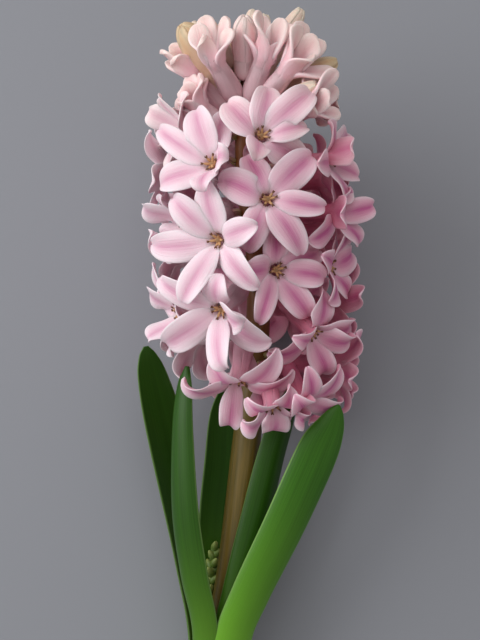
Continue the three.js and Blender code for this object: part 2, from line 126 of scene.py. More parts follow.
surface_shape = bmesh.new()
bmesh.ops.create_grid(surface_shape, x_segments=1, y_segments=1, size=SURFACE_SIDE / 2)
surface_mesh = bpy.data.meshes.new("surface")
surface_shape.to_mesh(surface_mesh)
surface_mesh.materials.append(card)
surface = bpy.data.objects.new("surface", surface_mesh)
bpy.context.scene.collection.objects.link(surface)

for name, place, target, side, watts in LIGHTS:
    light = bpy.data.lights.new(name, "AREA")
    light.size = side
    light.energy = watts
    lamp = bpy.data.objects.new(name, light)
    lamp.location = place
    lamp.rotation_euler = (Vector(target) - Vector(place)).to_track_quat("-Z", "Y").to_euler()
    bpy.context.scene.collection.objects.link(lamp)

world = bpy.data.worlds.new("studio")
world.use_nodes = True
background = world.node_tree.nodes["Background"]
background.inputs["Color"].default_value = linear("eae8e6")
background.inputs["Strength"].default_value = AMBIENT
bpy.context.scene.world = world
bpy.context.scene.view_settings.view_transform = "Standard"

# ---- the scape ----------------------------------------------------------------------------------------
# The thick fleshy stem that carries the spike, cut straight across at its foot. It is grown in one piece,
# juicy and smooth, pale green at the foot, olive above and brown higher up, with fine streaks along it.
PRESS = 1.5  # what comes closer to the surface than this is pressed flat on it
SCAPE_LENGTH = 236
SCAPE_LINE = [
    # height, how far its middle stands to the right, radius
    (0, -9, 5.6),
    (33, -6.4, 5.5),
    (61, -2.4, 5.3),
    (100, 2, 5.1),
    (142, 6.2, 4.3),
    (168, 6, 3.9),
    (196, 2, 3.5),
    (222, 1.5, 2.8),
    (236, 3, 1.7),
]


def smooth_along(rows, place, column=1):
    """The value at a place in rows of (place, value, ...), on a smooth line through the rows."""
    last = len(rows) - 1
    place = min(max(place, rows[0][0]), rows[last][0])
    i = next((k for k in range(last) if place <= rows[k + 1][0]), last - 1)
    a, b, c, d = (rows[min(max(k, 0), last)] for k in (i - 1, i, i + 1, i + 2))
    span = c[0] - b[0]
    t = (place - b[0]) / span
    rise_b = (c[column] - a[column]) / (c[0] - a[0]) * span
    rise_c = (d[column] - b[column]) / (d[0] - b[0]) * span
    return (
        b[column] * (2 * t**3 - 3 * t**2 + 1)
        + rise_b * (t**3 - 2 * t**2 + t)
        + c[column] * (3 * t**2 - 2 * t**3)
        + rise_c * (t**3 - t**2)
    )


def scape_middle(height):
    return Vector((smooth_along(SCAPE_LINE, height, 1), height, 0))


def laid_down(point):
    """A point of the plant where it lies. Soft flesh that would sink into the surface flattens on it."""
    at = plant @ point
    press = PRESS * MM
    if at.z < press:
        at.z = press * math.exp(at.z / press - 1)
    return at


def template(name, bm, grown_at=lambda co: co):
    """Keeps a plain shape for copying. Each point remembers where it was on it in the attribute grown."""
    grown = bm.verts.layers.float_vector.new("grown")
    for vert in bm.verts:
        vert[grown] = grown_at(vert.co)
    for face in bm.faces:
        face.smooth = True
    mesh = bpy.data.meshes.new(name)
    bm.to_mesh(mesh)
    bm.free()
    return mesh


def rod(name, sides, rings, **choices):
    """A closed rod: x and y go round it at radius 1, z runs 0 to 1 along it."""
    bm = bmesh.new()
    bmesh.ops.create_cone(bm, cap_ends=True, segments=sides, radius1=1, radius2=1, depth=1)
    long_edges = [e for e in bm.edges if abs(e.verts[0].co.z - e.verts[1].co.z) > 0.5]
    bmesh.ops.subdivide_edges(bm, edges=long_edges, cuts=rings - 1, use_grid_fill=True)
    bmesh.ops.translate(bm, vec=(0, 0, 0.5), verts=bm.verts)
    return template(name, bm, **choices)


def lay(bm, shape, place, material=0, **marks):
    """Adds a copy of a template to a piece, with each point where place says, in the plant's frame."""
    points, faces = len(bm.verts), len(bm.faces)
    bm.from_mesh(shape)
    bm.verts.ensure_lookup_table()
    bm.faces.ensure_lookup_table()
    layers = {name: bm.verts.layers.float.get(name) or bm.verts.layers.float.new(name) for name in marks}
    for vert in bm.verts[points:]:
        vert.co = laid_down(place(*vert.co))
        for name, value in marks.items():
            vert[layers[name]] = value
    for face in bm.faces[faces:]:
        face.material_index = material


def piece(name, bm, materials, nodes=(), levels=1):
    """Makes the shape an object that rides with the plant and stands for its nodes."""
    mesh = bpy.data.meshes.new(name)
    bm.to_mesh(mesh)
    bm.free()
    for material in materials:
        mesh.materials.append(material)
    made = bpy.data.objects.new(name, mesh)
    bpy.context.scene.collection.objects.link(made)
    if levels:
        smooth = made.modifiers.new("smooth", "SUBSURF")
        smooth.levels = smooth.render_levels = levels
    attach(made, "root")
    if nodes:
        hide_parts(*nodes)


def grown_parts(tree):
    """Where a piece's points were on its plain shape, for its material: the vector, then its x, y and z."""
    own = add(tree, "Attribute", {}, "Vector", attribute_name="grown")
    return [own, *add(tree, "SeparateXYZ", {0: own}).node.outputs]


SMOOTH = {"interpolation_type": "SMOOTHSTEP"}  # rounds both ends of a Map Range node

# Fleshy stem: a satin skin over juicy tissue, streaked along its length.
stem, shader, tree = new_material("fleshy_stem", {
    "Roughness": 0.42, "Subsurface Weight": 0.15, "Subsurface Radius": (1.0, 0.6, 0.3),
    "Subsurface Scale": 1.5 * MM,
})
own, *_, up = grown_parts(tree)
stretched = add(tree, "Mapping", {"Vector": own, "Scale": (6, 6, 9)})
streaks = add(tree, "TexNoise", {"Vector": stretched, "Scale": 1.0, "Detail": 5.0, "Roughness": 0.6})
streak = add(tree, "MapRange", {0: streaks, 1: 0.35, 2: 0.65})
olive = add(tree, "Mix", {0: streak, 6: linear("5f5218"), 7: linear("7a6426")}, **COLOUR)
lower = add(tree, "MapRange", {0: up, 1: 0.02, 2: 0.2}, **SMOOTH)
body = add(tree, "Mix", {0: lower, 6: linear("87934a"), 7: olive}, **COLOUR)
# Brown higher up the scape, where it runs among the florets.
upper = add(tree, "MapRange", {0: up, 1: 0.45, 2: 0.7}, **SMOOTH)
skin = add(tree, "Mix", {0: upper, 6: body, 7: linear("7a4a1e")}, **COLOUR)
bump = add(tree, "Bump", {"Height": streaks, "Strength": 0.25, "Distance": 0.0004})
tree.links.new(skin, shader.inputs["Base Color"])
tree.links.new(bump, shader.inputs["Normal"])

# Cut flesh: wet pale tissue, with darker walls between its cells.
CELL = 0.5  # coarser than real plant cells, so that they show
flesh, shader, tree = new_material("cut_flesh", {"Roughness": 0.3})
cells = add(tree, "TexVoronoi", {"Scale": 1 / (CELL * MM)})
wet = add(tree, "Mix", {0: cells, 6: linear("dfe6b8"), 7: linear("b9c98a")}, **COLOUR)
tree.links.new(wet, shader.inputs["Base Color"])

scape_rod = rod("scape_rod", 32, 90)


def on_scape(x, y, z):
    radius = smooth_along(SCAPE_LINE, z * SCAPE_LENGTH, 2)
    return scape_middle(z * SCAPE_LENGTH) + Vector((x * radius, 0, -y * radius))


scape = bmesh.new()
lay(scape, scape_rod, on_scape)
for face in scape.faces:
    if len(face.verts) > 4:  # the two flat ends
        face.material_index = 1
        face.smooth = False
piece("scape_stem", scape, [stem, flesh], ["scape"], levels=0)

# ---- the leaves ---------------------------------------------------------------------------------------
# Five thick strap leaves that wrap the foot of the scape. Each is one fleshy blade with a channel down
# its inner face and a hooded tip, glossy, with fine parallel veins and a paler margin.
LEAF_THICKNESS = 2.6
LEAF_MARGIN = 0.3  # share of the thickness that is left at the margin
LEAF_TIP = 0.5  # share of the thickness that is left at the tip
HOOD_FROM = 0.88  # of a leaf's length
HOOD = 30  # degrees by which the wrap grows in the hood
STEP = 0.01  # of a leaf's or tepal's length, on either side, over which its direction is taken
LEAVES = [
    # name, painted light (how much brighter or darker its colour is made than the others), turn of the outer
    # face at foot and tip, wrap at foot and tip, and the rows of its line: height, x, z, half width
    ("leaf_right", 1.55, (26, 8), (46, 24), [
        (0, -5, 9.6, 7.4), (33, -1.8, 10.8, 7.8), (50, 4.2, 12, 8), (74, 15.6, 14.2, 8.4),
        (93.5, 24.2, 15.8, 8.4), (103, 28.2, 16, 7.7), (109.5, 31.2, 15.8, 5.6), (114.4, 33, 15.2, 3),
        (117, 33.7, 14.6, 0.8)]),
    ("leaf_left_inner", 0.9, (-38, -48), (40, 34), [
        (0, -15, 6.2, 5.8), (35, -13.2, 9, 6.4), (57, -17.2, 10.8, 7), (80, -20.4, 11.4, 7),
        (108, -21, 10.8, 5.6), (123, -20, 9.6, 4), (130, -18.4, 8.6, 1)]),
    ("leaf_left_outer", 0.85, (-115, -160), (34, 14), [
        (0, -18, -5.5, 6), (31, -16, -6.5, 6.6), (58, -19.5, -9, 8), (85, -24, -11, 9.2),
        (110, -29, -12, 8.6), (126, -32.5, -12, 6.2), (133, -33.8, -11.4, 3.6), (136.5, -34.3, -11, 1)]),
    ("leaf_back_left", 0.85, (-168, -170), (42, 24), [
        (0, -11.3, -8.4, 5.6), (44, -10.2, -8.8, 6), (73, -9, -9.6, 6.8), (95, -6.5, -10.6, 7.2),
        (112, -6, -11.5, 5.4), (124, -5, -12, 0.8)]),
    ("leaf_inner_right", 0.9, (14, 24), (44, 36), [
        (0, -7.2, 7, 5.4), (33, -4.4, 7.3, 5.6), (52, -0.4, 7.8, 5.8), (76, 5.8, 7.8, 6),
        (98, 11.3, 6.6, 5.6), (113, 16, 4.2, 4.6), (124, 19, 2, 0.8)]),
]


def mix(a, b, share):
    return a + (b - a) * share


def strip(name, columns, rows):
    """A flat closed strip: x runs -1 to 1 across it, y 0 to 1 along it, z -0.5 to 0.5 through it."""
    bm = bmesh.new()
    bmesh.ops.create_grid(bm, x_segments=columns, y_segments=rows, size=1)
    bmesh.ops.solidify(bm, geom=bm.faces[:], thickness=1)
    low = min(v.co.z for v in bm.verts)
    for vert in bm.verts:
        vert.co = (vert.co.x, (vert.co.y + 1) / 2, vert.co.z - low - 0.5)
    bmesh.ops.recalc_face_normals(bm, faces=bm.faces)
    return template(name, bm)


def eased(share):
    return share * share * (3 - 2 * share)


def facing(turn):
    """The direction that faces a turn round the scape: 0 is the front and 90 the right."""
    return Vector((math.sin(math.radians(turn)), 0, math.cos(math.radians(turn))))


def leaf_place(turn, wrap, line):
    """Where a point of a leaf goes. The blade is an arc across, and the arc follows the leaf's line."""
    rows = [(i, *row) for i, row in enumerate(line)]
    last = len(rows) - 1

    def centre(v):
        return Vector([smooth_along(rows, v * last, column) for column in (2, 1, 3)])

    @functools.cache
    def station(v):
        half = max(smooth_along(rows, v * last, 4), 0.5)
        outward = facing(mix(turn[0], turn[1], v))
        tangent = (centre(min(v + STEP, 1)) - centre(max(v - STEP, 0))).normalized()
        side = tangent.cross(outward).normalized()
        back = side.cross(tangent).normalized()
        hood = HOOD * eased(max(0, (v - HOOD_FROM) / (1 - HOOD_FROM)))
        return centre(v), side, back, half, math.radians(mix(wrap[0], wrap[1], v) + hood)

    def place(u, v, w):
        middle, side, back, half, bow = station(v)
        bend = half / bow
        depth = w * LEAF_THICKNESS * mix(LEAF_MARGIN, 1, 1 - u * u) * mix(1, LEAF_TIP, v)
        return (
            middle
            + side * (bend + depth) * math.sin(u * bow)
            + back * ((bend + depth) * math.cos(u * bow) - bend)
        )

    return place


# Glossy leaf: deep green under a waxy shine, with fine parallel veins, paler at the margin and the foot.
blade, shader, tree = new_material("glossy_leaf", {
    "Roughness": 0.36, "Specular IOR Level": 0.22, "Subsurface Weight": 0.08,
    "Subsurface Radius": (0.5, 1.0, 0.2), "Subsurface Scale": 1.0 * MM,
})
own, across, up, _ = grown_parts(tree)
veined = add(tree, "Mapping", {"Vector": own, "Scale": (26, 2.5, 1)})
veins = add(tree, "TexNoise", {"Vector": veined, "Scale": 1.0, "Detail": 4.0, "Roughness": 0.55})
vein = add(tree, "MapRange", {0: veins, 1: 0.35, 2: 0.65})
deep = add(tree, "Mix", {0: vein, 6: linear("284e0f"), 7: linear("305b15")}, **COLOUR)
foot = add(tree, "MapRange", {0: up, 1: 0.0, 2: 0.5, 3: 1.0, 4: 0.0}, **SMOOTH)
green = add(tree, "Mix", {0: foot, 6: deep, 7: linear("5a8a22")}, **COLOUR)
from_middle = add(tree, "Math", {0: across}, operation="ABSOLUTE")
margin = add(tree, "MapRange", {0: from_middle, 1: 0.9, 2: 1.0}, **SMOOTH)
edged = add(tree, "Mix", {0: margin, 6: green, 7: linear("5f8040")}, **COLOUR)
# Each leaf's colour is scaled by painted light: up for a leaf that should be lit, down for one in shade.
painted_light = add(tree, "Attribute", {}, "Fac", attribute_name="tone")
toned = add(tree, "VectorMath", {0: edged, "Scale": painted_light}, operation="SCALE")
bump = add(tree, "Bump", {"Height": veins, "Strength": 0.15, "Distance": 0.0003})
tree.links.new(toned, shader.inputs["Base Color"])
tree.links.new(bump, shader.inputs["Normal"])

leaf_strip = strip("leaf_strip", 12, 60)
for name, painted_light, turn, wrap, line in LEAVES:
    leaf = bmesh.new()
    lay(leaf, leaf_strip, leaf_place(turn, wrap, line), tone=painted_light)
    piece(name + "_blade", leaf, [blade], [name])

# ---- the second spike ---------------------------------------------------------------------------------
# A small spike of closed green buds that has only just come up beside the scape.
SECOND_FOOT = Vector((-16.6, 1, -2.6))
SECOND_TOP = Vector((-10.6, 50, -4.5))
SECOND_SPIKE = 19  # how far the buds go on above the stalk
SECOND_STALK = 1.5  # radius of the stalk
STALK_SHORT = 2  # how far below the spike's tip the stalk ends
GREEN_BUDS = 14
GREEN_BUD = (1.75, 2.9)  # half its width, half its length
TOP_BUD = 0.75  # size of the top bud against the lowest
BUDS_END = 4  # how far below the spike's tip the top bud's middle is
BUDS_OUT = (1.9, 0.8)  # how far the lowest and the top bud stand off the stalk's middle
BUDS_LIFT = (0.6, 1.5)  # how steeply they point up
BUD_TAPER = 0.35
GOLDEN = 137.5  # degrees from one bud to the next round a spike

# Green bud: dull waxy skin, paler at its tip.
waxy, shader, tree = new_material("green_bud", {"Roughness": 0.5})
*_, up = grown_parts(tree)
tip = add(tree, "MapRange", {0: up, 1: 0.0, 2: 1.0})
green = add(tree, "Mix", {0: tip, 6: linear("5f7a2e"), 7: linear("9aa85a")}, **COLOUR)
tree.links.new(green, shader.inputs["Base Color"])

second_way = (SECOND_TOP - SECOND_FOOT).normalized()
second_long = (SECOND_TOP - SECOND_FOOT).length
second_side = second_way.cross(Vector((0, 0, 1))).normalized()
second_front = second_side.cross(second_way)
stalk_rod = rod("stalk_rod", 12, 24)


def on_stalk(x, y, z):
    long = second_long + SECOND_SPIKE - STALK_SHORT
    radius = SECOND_STALK * mix(1, 0.5, max(0, z * long - second_long) / SECOND_SPIKE)
    return SECOND_FOOT + second_way * z * long + second_side * x * radius + second_front * y * radius


def ball(name, segments, rings):
    """A closed ball of radius 1."""
    bm = bmesh.new()
    bmesh.ops.create_uvsphere(bm, u_segments=segments, v_segments=rings, radius=1)
    return template(name, bm)


green_ball = ball("green_ball", 10, 8)
second = bmesh.new()
lay(second, stalk_rod, on_stalk)
for i in range(GREEN_BUDS):
    share = i / (GREEN_BUDS - 1)
    turn = math.radians(GOLDEN * i)
    outward = second_side * math.sin(turn) + second_front * math.cos(turn)
    way = (outward + second_way * mix(*BUDS_LIFT, share)).normalized()
    middle = SECOND_FOOT + second_way * (second_long + (SECOND_SPIKE - BUDS_END) * share)
    middle += outward * mix(*BUDS_OUT, share)
    wide, long = (size * mix(1, TOP_BUD, share) for size in GREEN_BUD)
    side = way.cross(second_way).normalized()
    front = side.cross(way)

    def on_bud(x, y, z):
        return middle + (side * x + front * y) * wide * (1 - BUD_TAPER * z) + way * z * long

    lay(second, green_ball, on_bud)
piece("second_spike_buds", second, [waxy], ["second_spike"])

# ---- the open florets ---------------------------------------------------------------------------------
# Each floret is one grown piece: a thin pedicel, and six tepals whose lower halves are joined in a tube.
# The free halves are thick and waxy. They swing out of the throat and curl back, with a deeper stripe
# down the middle and a pale margin, and each ends in a small hood.
TUBE_LONG = 17
TUBE_SHARE = 0.36  # of a tepal's rows
SECTOR = math.radians(33)  # half of the tube's round that one tepal takes, with a little overlap
RIM = 2.4  # radius of the throat, at the middle of the tube's wall
TUBE_RADIUS = [(0, 0.7), (0.08, 2.2), (0.24, 3.0), (0.45, 3.0), (0.7, 2.7), (0.88, 2.4), (1, RIM)]
# Rows of (share of the free half, value). A bow is how far the blade is rolled across, in degrees.
HALF_WIDTH = [
    (0, 1.5), (0.1, 2.5), (0.2, 3.8), (0.32, 4.9), (0.45, 5.2), (0.6, 5.1),
    (0.72, 4.6), (0.82, 3.7), (0.9, 2.7), (0.96, 1.7), (1, 0.7),
]
HALF_OPEN_WIDTH = [(0, 1.7), (0.2, 3.6), (0.45, 4.4), (0.68, 4.3), (0.84, 3.6), (0.94, 2.4), (1, 1.0)]
BOW = [(0, 31), (0.1, 22), (0.2, 5), (0.3, -9), (0.42, -8), (0.55, 4), (0.75, 21), (0.9, 38), (1, 58)]
HALF_OPEN_BOW = [(0, 33), (0.3, 25), (0.6, 9), (1, 6)]
MOST_BOW = 80
# Rows of (share of the whole tepal, thickness), with a knob at the tip.
TEPAL_THICKNESS = [(0, 0.9), (0.3, 0.9), (0.45, 1.2), (0.7, 0.95), (0.91, 0.85), (0.97, 1.2), (1, 1.2)]
SHUT_THICK = 2  # how many times as thick a tepal is before it opens
TEPAL_WIDTH = 8.8  # a floret's width that leaves the rows as they are
GROWN_BELLY = 6.5
GROWN_CUP = 1.3
SWAY = 2.2  # how far a tepal may bend to one side
WHORLS_APART = 2.6  # how far the inner three tepals lie in front of the outer three
TWIST = math.radians(12)
GROOVE = 0.5  # depth of the channel down the middle
PEDICEL = 1.0  # radius of the stalk
GAP = 0.3  # between the scape's skin and where a pedicel is set

SET_FLORETS = [
    # mouth, foot height, belly (how far the bend swells in front of the throat), curl (how far in front
    # of its tip it turns back) and width; where they aren't 0, 1.2 and 1, nod (how many degrees the tube
    # turns down), cup (how much of the bow it has) and how open it is; and the six tepals' tips
    (((11, 118, 22), 131, 8, 8, 8.8, 16, 1.6),
     [(2, 121, 31), (1, 112, 27), (9, 110, 15), (20, 116, 13), (18, 124, 29), (7, 124, 9)]),
    (((0, 127, 20), 143, 9, 9, 8.8, 20, 1.6),
     [(-19, 126, 21), (-10, 134, 27), (12, 136, 28), (18, 130, 19), (-4, 113, 15), (2, 137, 9)]),
    (((21, 120, 16), 134, 8, 7, 8.8, 12, 1.5),
     [(34, 130, 14), (34, 120, 9), (17, 121, 28), (17, 116, 22), (27, 117, 5), (22, 131, 24)]),
    (((24, 143, 15), 156, 7, 7, 8.8, 8, 1.5),
     [(39, 141, 11), (39, 147, 6), (30, 157, 17), (17, 141, 28), (10, 135, 20), (27, 129, 9)]),
    (((-6, 150, 24), 157, 7.5, 6, 9, 8),
     [(2, 146, 36), (-7, 161, 32), (-27, 161, 17), (-25, 138, 19), (-3, 131, 29), (10, 139, 27)]),
    (((12, 163, 21), 164, 7, 5, 8.6),
     [(29, 160, 17), (27, 170, 14), (12, 176, 20), (1, 163, 31), (6, 145, 25), (24, 147, 18)]),
    (((-7, 173, 25), 177, 7, 5, 9.2),
     [(6, 177, 37), (-11, 192, 28), (-22, 187, 22), (-30, 172, 17), (-17, 152, 24), (6, 157, 30)]),
    (((9, 186, 28), 185, 7, 5, 9.2),
     [(28, 184, 25), (25, 201, 25), (2, 201, 24), (-7, 192, 28), (2, 169, 24), (20, 168, 27)]),
    (((-9, 198, 25), 193, 7, 5, 9),
     [(-4, 199, 36), (-3, 216, 18), (-15, 217, 21), (-27, 211, 15), (-27, 192, 20), (-11, 188, 33)]),
    (((7, 207, 27), 200, 7, 5, 9),
     [(22, 210, 24), (22, 223, 21), (9, 224, 21), (-4, 219, 24), (5, 198, 35), (21, 198, 21)]),
    (((29, 201, 12), 200, 6.5, 2, 8.8),
     [(28, 213, 20), (38, 204, 22), (40, 196, 8), (33, 186, 15), (24, 198, 27), (38, 212, 2)]),
    (((31, 183, 12), 184, 6.5, 3, 8.8),
     [(40, 192, 14), (45, 186, 7), (34, 181, 28), (22, 173, 24), (38, 172, 5), (30, 195, 3)]),
    (((30, 165, 8), 168, 6.5, 3, 8.8),
     [(41, 178, 8), (42, 170, 1), (26, 168, 23), (28, 152, 16), (38, 155, 0), (31, 180, 1)]),
    (((-19, 211, 6), 202, 6.5, 2, 8),
     [(-26, 224, 7), (-31, 220, 1), (-31, 206, 3), (-24, 198, 13), (-14, 224, 10), (-27, 215, -7)]),
    (((-18, 180, 8), 184, 6.5, 3, 8),
     [(-34, 186, 6), (-26, 189, 15), (-30, 175, 2), (-22, 166, 15), (-14, 184, 23), (-24, 186, -5)]),
    (((-20, 149, 8), 158, 6.5, 3, 8.4),
     [(-29, 166, 8), (-32, 156, 1), (-32, 139, 8), (-22, 134, 14), (-17, 144, 22), (-25, 159, -4)]),
    (((-8, 234, 14), 222, 5.5, -2, 8, 0, 1, 0.3),
     [(-15, 248, 16), (-12, 251, 10), (-7, 249, 8), (-12, 241, 21), (-4, 250, 13), (-4, 246, 18)]),
    (((8, 235, 14), 221, 5.5, -2, 8, 0, 1, 0.3),
     [(5, 250, 20), (14, 248, 19), (18, 249, 12), (14, 251, 6), (3, 250, 11), (8, 252, 5)]),
    (((16, 231, 15), 218, 5.5, -1, 8, 0, 1, 0.35),
     [(22, 249, 12), (27, 242, 18), (28, 243, 8), (33, 231, 13), (19, 246, 19), (26, 235, 21)]),
    (((-13, 219, 9), 211, 5.5, -1, 8, 0, 1, 0.4),
     [(-23, 228, 12), (-19, 231, 7), (-13, 230, 14), (-24, 224, 4), (-25, 221, 13), (-15, 232, 3)]),
    (((-15, 232, 5), 218, 5.5, -1, 7, 0, 1, 0.35),
     [(-27, 239, 8), (-24, 242, 3), (-20, 243, 8), (-23, 236, 11), (-27, 237, 2), (-20, 243, 1)]),
    (((22, 218, 16), 210, 5.5, -1, 8, 0, 1, 0.4),
     [(32, 231, 17), (31, 222, 22), (33, 227, 8), (35, 217, 14), (26, 230, 10), (26, 219, 26)]),
]
GROWN_FLORETS = [
    # height, turn, lift, roll, how far out, reach, curl, how far forward the tips stand
    (131, 97, -4, 20, 22, 17, 5, 4),
    (130, 133, -10, 5, 24, 17.5, 6, 1.5),
    (127, 180, -12, 30, 23.5, 17.5, 6, 1.5),
    (143, -132, -8, 28, 24, 17.5, 6, 1.5),
    (153, 108, -4, 45, 22, 17.5, 3, 5),
    (152, 157, -4, 10, 25.5, 17.5, 4, 1.5),
    (160, -168, -4, 40, 25.5, 17.5, 4, 1.5),
    (168, -101, 0, 0, 23, 17.5, 3, 4),
    (177, 130, 4, 50, 24, 17.5, 4, 1.5),
    (180, 174, 2, 15, 25, 17.5, 4, 1.5),
    (185, -145, 4, 35, 24, 17.5, 4, 1.5),
    (193, 108, 8, 10, 22, 17.5, 3, 4),
    (196, -98, 8, 48, 22, 17, 3, 4),
    (201, 150, 12, 40, 22, 17.5, 4, 1.5),
    (204, -168, 12, 20, 22, 17.5, 4, 1.5),
    (211, -132, 18, 25, 19, 14, 4, 1.5),
    (217, 112, 22, 15, 22, 13, 2, 6),
    (220, 172, 26, 45, 22, 14, 4, 1.5),
]


def wobble(index, kind):
    """A repeatable number from -1 to 1: how far one floret or tepal strays from the rule in one way."""
    s = math.sin(index * 12.9898 + kind * 78.233) * 43758.5453
    return 2 * (s - math.floor(s)) - 1


def along(rows, place, column=1):
    """The value at a place in rows of (place, value, ...), straight from one row to the next."""
    if place <= rows[0][0]:
        return rows[0][column]
    for low, high in zip(rows, rows[1:]):
        if place <= high[0]:
            return mix(low[column], high[column], (place - low[0]) / (high[0] - low[0]))
    return rows[-1][column]


def foot_at(height, turn):
    """Where a pedicel leaves the scape."""
    return scape_middle(height) + facing(turn) * (along(SCAPE_LINE, height, 2) + GAP)


def set_floret(tips, mouth, foot, belly, curl, width, nod=0, cup=1.2, open_share=1):
    """A floret whose mouth and tips are given, for those that face the front."""
    throat = Vector(mouth)
    away = throat - scape_middle(foot)
    start = foot_at(foot, math.degrees(math.atan2(away.x, away.z)))
    axis = (throat - start).normalized()
    axis.rotate(Matrix.Rotation(math.radians(nod), 3, axis.cross(Vector((0, -1, 0))).normalized()))
    return {
        "foot": start, "throat": throat, "axis": axis, "tips": [Vector(t) for t in tips],
        "belly": belly, "curl": curl, "width": width, "cup": cup, "open": open_share,
    }


def grown_floret(index, height, turn, lift, roll, far, reach, curl, ahead):
    """A floret grown to rule, for the sides and the back."""
    foot = foot_at(height, turn)
    axis = facing(turn) * math.cos(math.radians(lift)) + Vector((0, math.sin(math.radians(lift)), 0))
    throat = foot + axis * far
    upward = (Vector((0, 1, 0)) - axis * axis.y).normalized()
    sideways = upward.cross(axis).normalized()
    tips = []
    for i in range(6):  # each tip strays a little from the regular star
        angle = math.radians(roll + 60 * i + 7 * wobble(index, i))
        long = reach * (1 + 0.07 * wobble(index, i + 10))
        forward = ahead + (1 if i % 2 else -1) + 1.5 * wobble(index, i + 20)
        star = sideways * math.sin(angle) + upward * math.cos(angle)
        tips.append(throat + star * long + axis * forward)
    return {
        "foot": foot, "throat": throat, "axis": axis, "tips": tips,
        "belly": GROWN_BELLY, "curl": curl, "width": TEPAL_WIDTH, "cup": GROWN_CUP, "open": 1,
    }


def round_axis(axis):
    """Gives the direction that stands off an axis at an angle round it."""
    right = axis.orthogonal().normalized()
    up = axis.cross(right)
    return lambda angle: right * math.cos(angle) + up * math.sin(angle)


def square_to(direction, axis):
    return (direction - axis * direction.dot(axis)).normalized()


def roots(throat, axis, tips):
    """The tips in order round the throat, each with the direction in which its tepal leaves the throat."""
    at = round_axis(axis)

    def angle_of(tip):
        return math.atan2((tip - throat).dot(at(math.tau / 4)), (tip - throat).dot(at(0)))

    ordered = sorted(tips, key=angle_of)
    sixth = math.tau / 6
    roll = sum(angle_of(tip) - sixth * k for k, tip in enumerate(ordered)) / 6
    return [(tip, at(roll + sixth * k)) for k, tip in enumerate(ordered)]


def bezier(points, t):
    """A point on the cubic curve that four points pull."""
    a, b, c, d = points
    s = 1 - t
    return a * s**3 + b * 3 * s * s * t + c * 3 * s * t * t + d * t**3


def tepal_place(tepal):
    """Where a point of one tepal goes: up the tube as a sector of its wall, then along the bend."""
    start, axis, tube, bend = tepal["start"], tepal["axis"], tepal["tube"], tepal["bend"]
    root_way, tip_way, outer, wall = tepal["root_way"], tepal["tip_way"], tepal["outer"], tepal["wall"]
    seed, spread = tepal["seed"], tepal["open"]

    # What makes it differ from the next tepal: a twist, where and how high its margin ripples, its width.
    twist = TWIST * wobble(seed, 1)
    ripple = math.tau * wobble(seed, 2)
    wave = 0.5 + 0.35 * abs(wobble(seed, 3))
    plump = 0.16 * wobble(seed, 4)

    def centre(v):
        if v < TUBE_SHARE:
            share = v / TUBE_SHARE
            radius = smooth_along(tepal["round"], share) * wall + 0.15 * outer
            return start + axis * tube * share + root_way * radius
        return bezier(bend, (v - TUBE_SHARE) / (1 - TUBE_SHARE))

    @functools.cache
    def station(v):
        t = max(0, (v - TUBE_SHARE) / (1 - TUBE_SHARE))
        tangent = (centre(min(v + STEP, 1)) - centre(max(v - STEP, 0))).normalized()
        way = (root_way * (1 - eased(t)) + tip_way * eased(t)).normalized()
        side = square_to(way.cross(axis), tangent)
        side.rotate(Matrix.Rotation(twist * t, 3, tangent))
        inner = side.cross(tangent).normalized()
        if v < TUBE_SHARE:
            bow = SECTOR
            half = smooth_along(tepal["round"], v / TUBE_SHARE) * wall * SECTOR
        else:
            cupped = smooth_along(tepal["bow"], t) * mix(1, tepal["cup"], min(t * 3, 1))
            bow = math.radians(min(cupped, MOST_BOW))
            half = smooth_along(tepal["half"], t) * tepal["wide"] * (1 + plump * t)
        return centre(v), side, inner, half, bow, t

    def place(u, v, w):
        middle, side, inner, half, bow, t = station(v)
        round_by = half / bow
        angle = u * bow
        # It thins to its margins, has a channel down the middle and ruffles more the nearer to the tip.
        thinned = (0.55 + 0.25 * max(0, 1 - 3 * t)) * spread * min(8 * t, 1) * u * u
        depth = w * along(TEPAL_THICKNESS, v) * tepal["thick"] * (1 - thinned)
        groove = GROOVE * spread * t * (1 - t) * 4 * math.exp(-((u / 0.2) ** 2))
        ruffle = wave * spread * t * u * u * math.sin(ripple + 9 * t + u)
        return (
            middle
            + side * round_by * math.sin(angle)
            + inner * (round_by * (1 - math.cos(angle)) - groove + ruffle)
            + (inner * math.cos(angle) - side * math.sin(angle)) * depth
        )

    return place


def floret_tepals(floret, index):
    """What each of a floret's six tepals is: its tube, the four points that pull its bend, its rows."""
    throat, axis, spread = floret["throat"], floret["axis"], floret["open"]
    tube = min(TUBE_LONG, (throat - floret["foot"]).length - 2)
    tepals = []
    for k, (tip, root_way) in enumerate(roots(throat, axis, floret["tips"])):
        tip_way = square_to(tip - throat, axis)
        outer = k % 2
        root = throat + root_way * (RIM + 0.1 * outer)
        sway = axis.cross(tip_way) * SWAY * wobble(index, k + 60)
        layer = axis * WHORLS_APART * (0.5 - outer)
        bend = [
            root,
            root + axis * (floret["belly"] - 1.6) + root_way * 1.2 + layer * 0.15,
            tip + axis * floret["curl"] - tip_way * 2 + sway + layer * 0.35,
            tip + layer * 0.6,
        ]
        # The outer whorl is broader than the inner one.
        wide = floret["width"] / TEPAL_WIDTH * (1.05 if outer else 0.9) * (1 + 0.05 * wobble(index, k + 30))
        tepals.append({
            "floret": index, "seed": index * 6 + k, "outer": outer, "open": spread, "cup": floret["cup"],
            "start": throat - axis * tube, "axis": axis, "tube": tube, "wall": 1, "round": TUBE_RADIUS,
            "root_way": root_way, "tip_way": tip_way, "bend": bend, "wide": wide,
            "thick": mix(SHUT_THICK, 1, spread), "half": HALF_WIDTH if spread == 1 else HALF_OPEN_WIDTH,
            "bow": BOW if spread == 1 else HALF_OPEN_BOW,
        })
    return tepals


